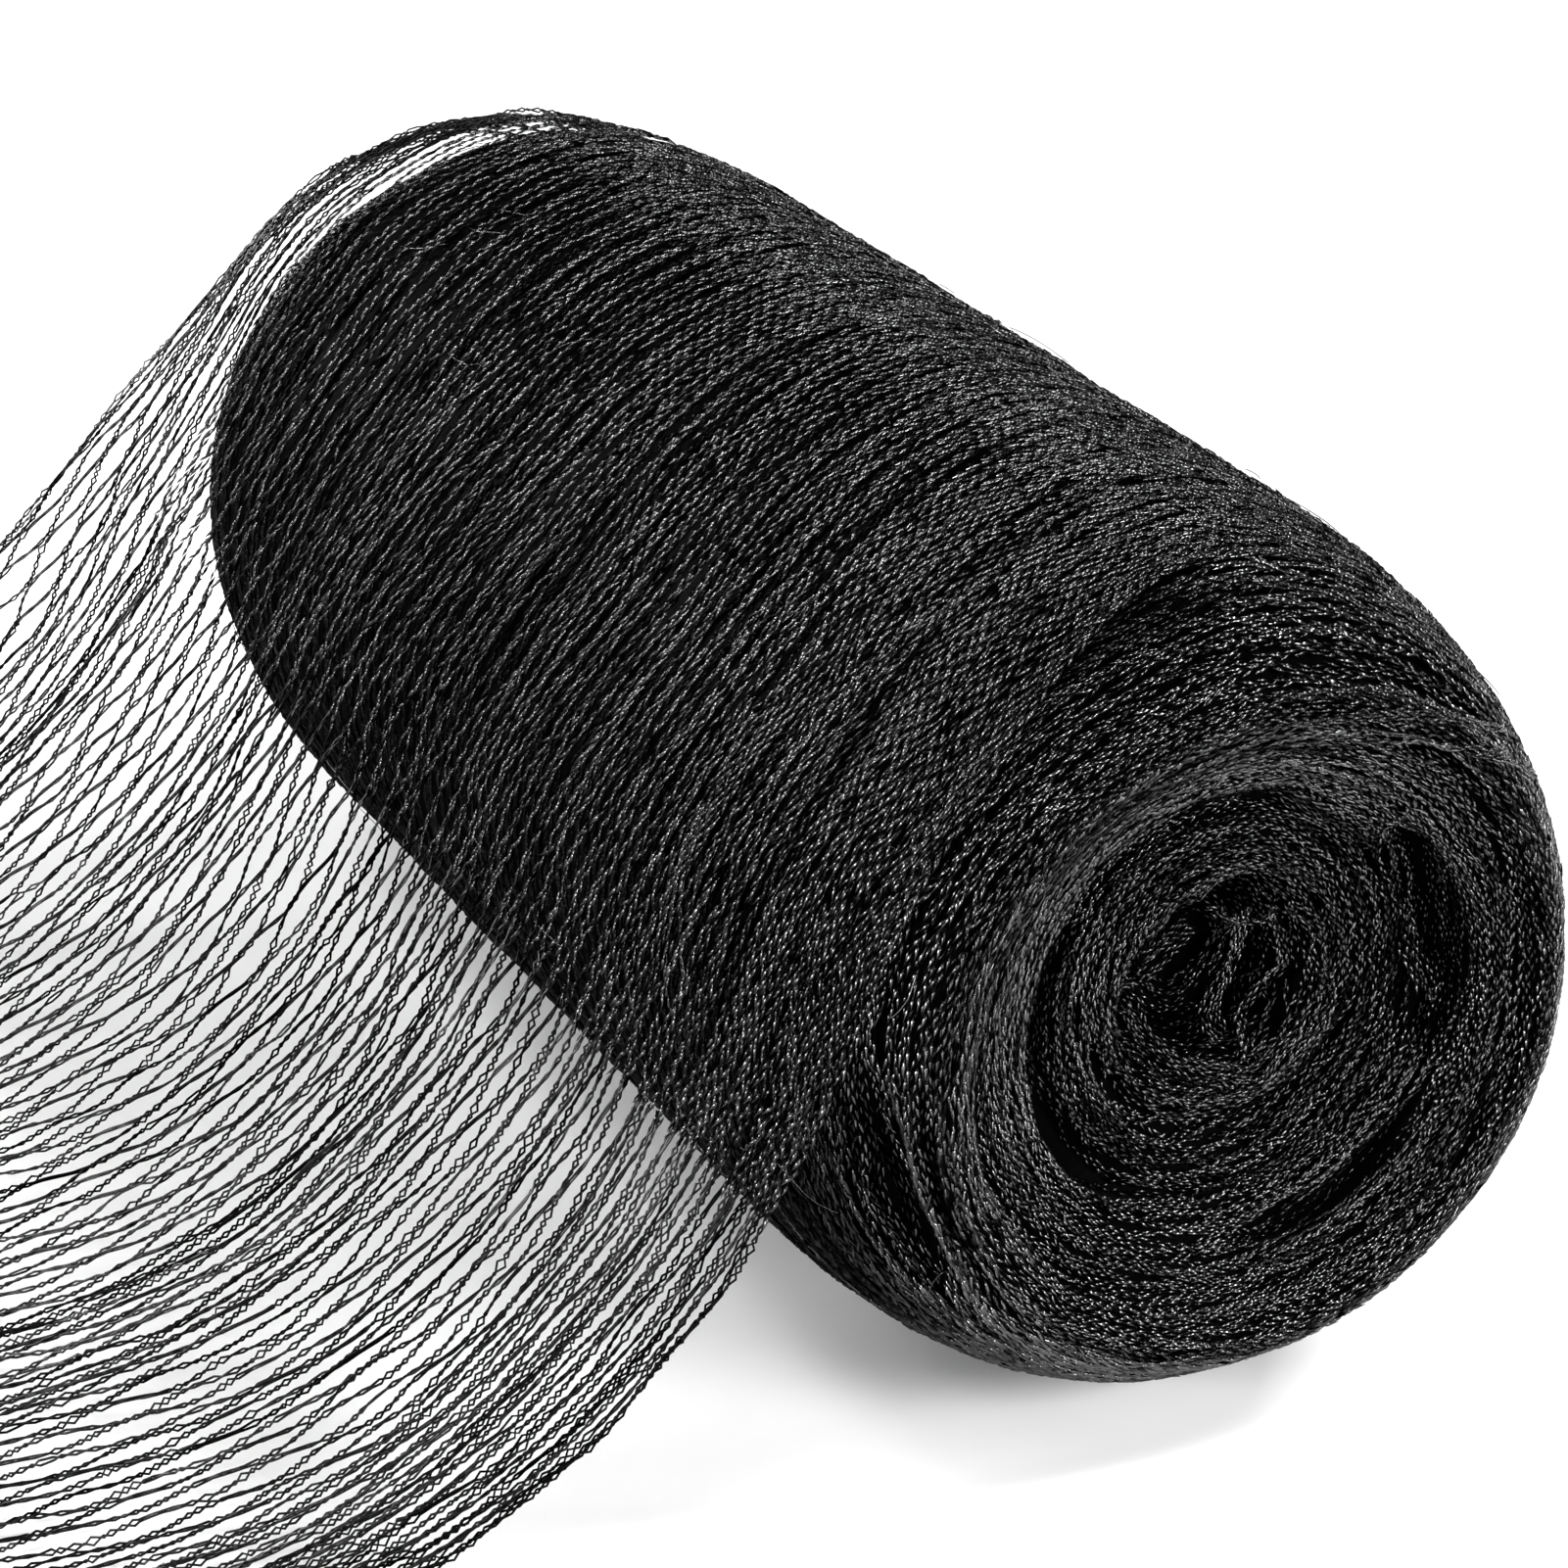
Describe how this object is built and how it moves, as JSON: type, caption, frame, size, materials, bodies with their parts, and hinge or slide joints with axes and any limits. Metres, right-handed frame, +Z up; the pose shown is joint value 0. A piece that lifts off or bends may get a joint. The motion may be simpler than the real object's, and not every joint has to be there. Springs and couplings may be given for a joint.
{
  "type": "roll of pond netting",
  "caption": "Wound roll of fine black knitted pond netting lying on its side, with dished ends and its loose end falling from the top of the roll to the floor in a draped sheet of open net.",
  "frame": {"origin": "middle of the flat spot on which the roll rests, on the floor", "axes": "+Z up from the floor; X along the roll's axis, +X towards the end that faces the camera; the loose end falls towards -Y"},
  "size_m": [0.3302, 0.3292, 0.1503],
  "materials": {
    "wound_net": "black knitted polyethylene net, wound tight, satin with fine glints",
    "loose_net": "black knitted polyethylene net, one open layer, satin"
  },
  "bodies": {
    "root": {"wound_roll": "wound_net", "loose_end": "loose_net"}
  },
  "joints": []
}
